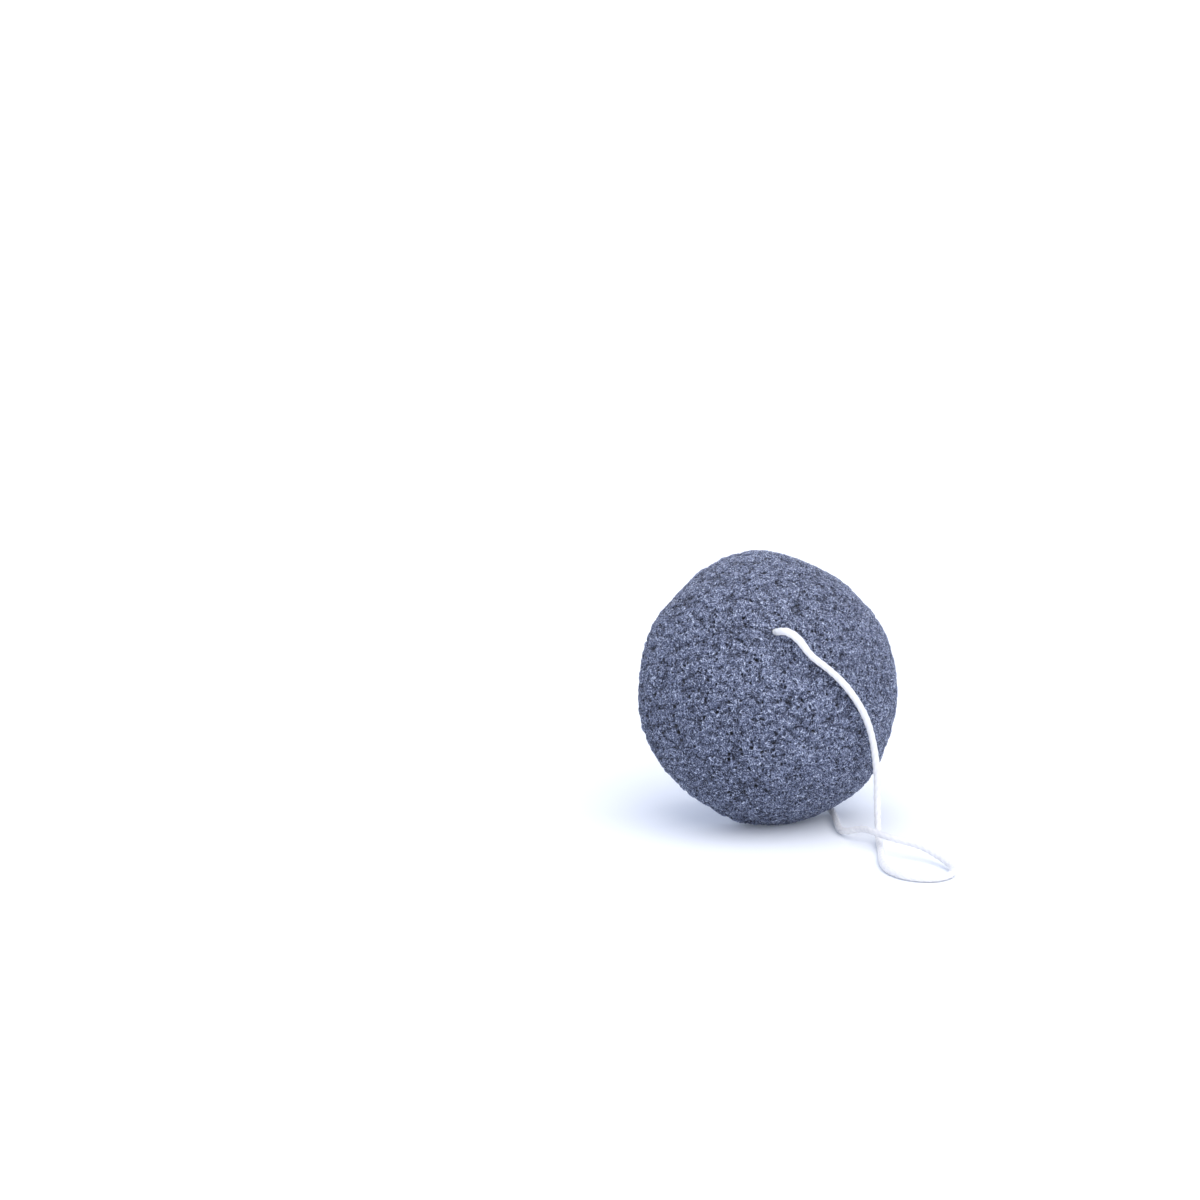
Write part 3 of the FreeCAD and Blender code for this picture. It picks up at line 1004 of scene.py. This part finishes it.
# painted shade: the grooves between the strands are a little darker than the strands' tops
in_section = vector_step(tree, "MULTIPLY", place, (1.0, 1.0, 0.0))
from_middle = vector_step(tree, "LENGTH", in_section, output=1)
groove = add_node(tree, "ShaderNodeMapRange", {0: from_middle, 1: 0.94, 2: 1.05, 3: 0.0, 4: 1.0})
cotton_colours = add_node(tree, "ShaderNodeValToRGB", {0: groove.outputs[0]})
cotton_colours.color_ramp.elements[0].color = colour("#EAE9EA")
cotton_colours.color_ramp.elements[1].color = colour("#F3F2F2")
fibre_shade = add_node(tree, "ShaderNodeMapRange", {0: fibre, 1: 0.25, 2: 0.75, 3: 0.92, 4: 1.03})
cotton_colour = add_node(
    tree,
    "ShaderNodeMix",
    {0: 1.0, 6: cotton_colours.outputs[0], 7: fibre_shade.outputs[0]},
    data_type="RGBA",
    blend_type="MULTIPLY",
)
bump = add_node(tree, "ShaderNodeBump", {"Strength": 0.5, "Distance": 0.00008, "Height": fibre})
cotton_shader = add_node(
    tree,
    "ShaderNodeBsdfPrincipled",
    {
        "Base Color": cotton_colour.outputs[2],
        "Roughness": 0.85,
        "Normal": bump.outputs[0],
        "Sheen Weight": 0.8,
        "Sheen Roughness": 0.5,
        "Subsurface Weight": 0.35,
        "Subsurface Radius": (1.0, 1.0, 1.0),
        "Subsurface Scale": 0.0008,
    },
)
add_node(tree, "ShaderNodeOutputMaterial", {"Surface": cotton_shader.outputs[0]})
for piece in (loop, held_string, knot):
    piece.data.materials.append(cotton_material)
print(cotton_material.name, "has", len(tree.nodes), "nodes")

# %% [markdown]
# The stage.
# A pale floor in soft light, with bluish shadows. It is lit until it is nearly white, as paper
# in a small studio is, and its shadows stay. What is behind it is white for the camera and for
# reflections only. Three wide lamps light it: one above, a weak one low in front, which shows
# the string, and one behind, which keeps the floor behind the sponge light.

# %% Floor
FLOOR_SIZE = 30
FLOOR_GLOW = 0.10


def looked_at(tree):
    """Gives 1 for what the camera, a reflection or a clear thing looks at, and 0 for light."""
    rays = add_node(tree, "ShaderNodeLightPath").outputs
    seen = number_step(tree, "MAXIMUM", rays["Is Camera Ray"], rays["Is Glossy Ray"])
    return number_step(tree, "MAXIMUM", seen, rays["Is Transmission Ray"])


bpy.ops.mesh.primitive_plane_add(size=FLOOR_SIZE, location=(0, 0, 0))
floor = bpy.context.object
floor.name = "studio_floor"
floor_material, tree = new_material("matte studio paper")
paper = add_node(tree, "ShaderNodeBsdfDiffuse", {"Color": colour("#F4F6F8")})
glow = add_node(
    tree,
    "ShaderNodeEmission",
    {
        "Color": colour("#D6E3FF"),
        "Strength": number_step(tree, "MULTIPLY", looked_at(tree), FLOOR_GLOW),
    },
)
both = add_node(tree, "ShaderNodeAddShader", {0: paper.outputs[0], 1: glow.outputs[0]})
add_node(tree, "ShaderNodeOutputMaterial", {"Surface": both.outputs[0]})
floor.data.materials.append(floor_material)
print("the floor is", FLOOR_SIZE, "m wide")

# %% World and lamps
AMBIENT = 0.61
world = bpy.data.worlds.new("soft studio")
bpy.context.scene.world = world
world.use_nodes = True
tree = world.node_tree
tree.nodes.clear()
ambient = add_node(tree, "ShaderNodeBackground", {0: colour("#D0DEFF"), 1: AMBIENT})
white = add_node(tree, "ShaderNodeBackground", {0: colour("#FFFFFF"), 1: 1.0})
either = add_node(
    tree, "ShaderNodeMixShader", {0: looked_at(tree), 1: ambient.outputs[0], 2: white.outputs[0]}
)
add_node(tree, "ShaderNodeOutputWorld", {"Surface": either.outputs[0]})


def lamp(name, comes_from, strength, angle, tint):
    """Adds a soft sun whose light comes from a direction."""
    turn = Vector(comes_from).to_track_quat("Z", "Y").to_euler()
    bpy.ops.object.light_add(type="SUN", rotation=turn)
    sun = bpy.context.object
    sun.name = name
    sun.data.energy = strength
    sun.data.angle = math.radians(angle)
    sun.data.color = colour(tint)[:3]


lamp("key", (0.08, -0.42, 0.90), 2.15, 72, "#FFFBF6")
lamp("fill", (-0.32, -0.90, 0.28), 0.75, 50, "#FFFDF8")
lamp("back", (-0.25, 0.55, 0.80), 0.70, 70, "#F4F8FF")

view = bpy.context.scene.view_settings
view.view_transform = "Standard"

# %% [markdown]
# Each piece on the body.
# Every piece rides on the one body, and the part of the solid model that it stands for is
# hidden.

# %% Attach the pieces, and hide the parts that they stand for
for piece, node, finish in (
    (sponge, "sponge_body", "konjac_foam"),
    (held_string, "string_in_channel", "cotton_string"),
    (loop, "string_loop", "cotton_string"),
    (knot, "string_knot", "cotton_string"),
):
    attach(piece, "root")
    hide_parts(node)
print("pieces:", [piece.name for piece in (sponge, held_string, loop, knot)])
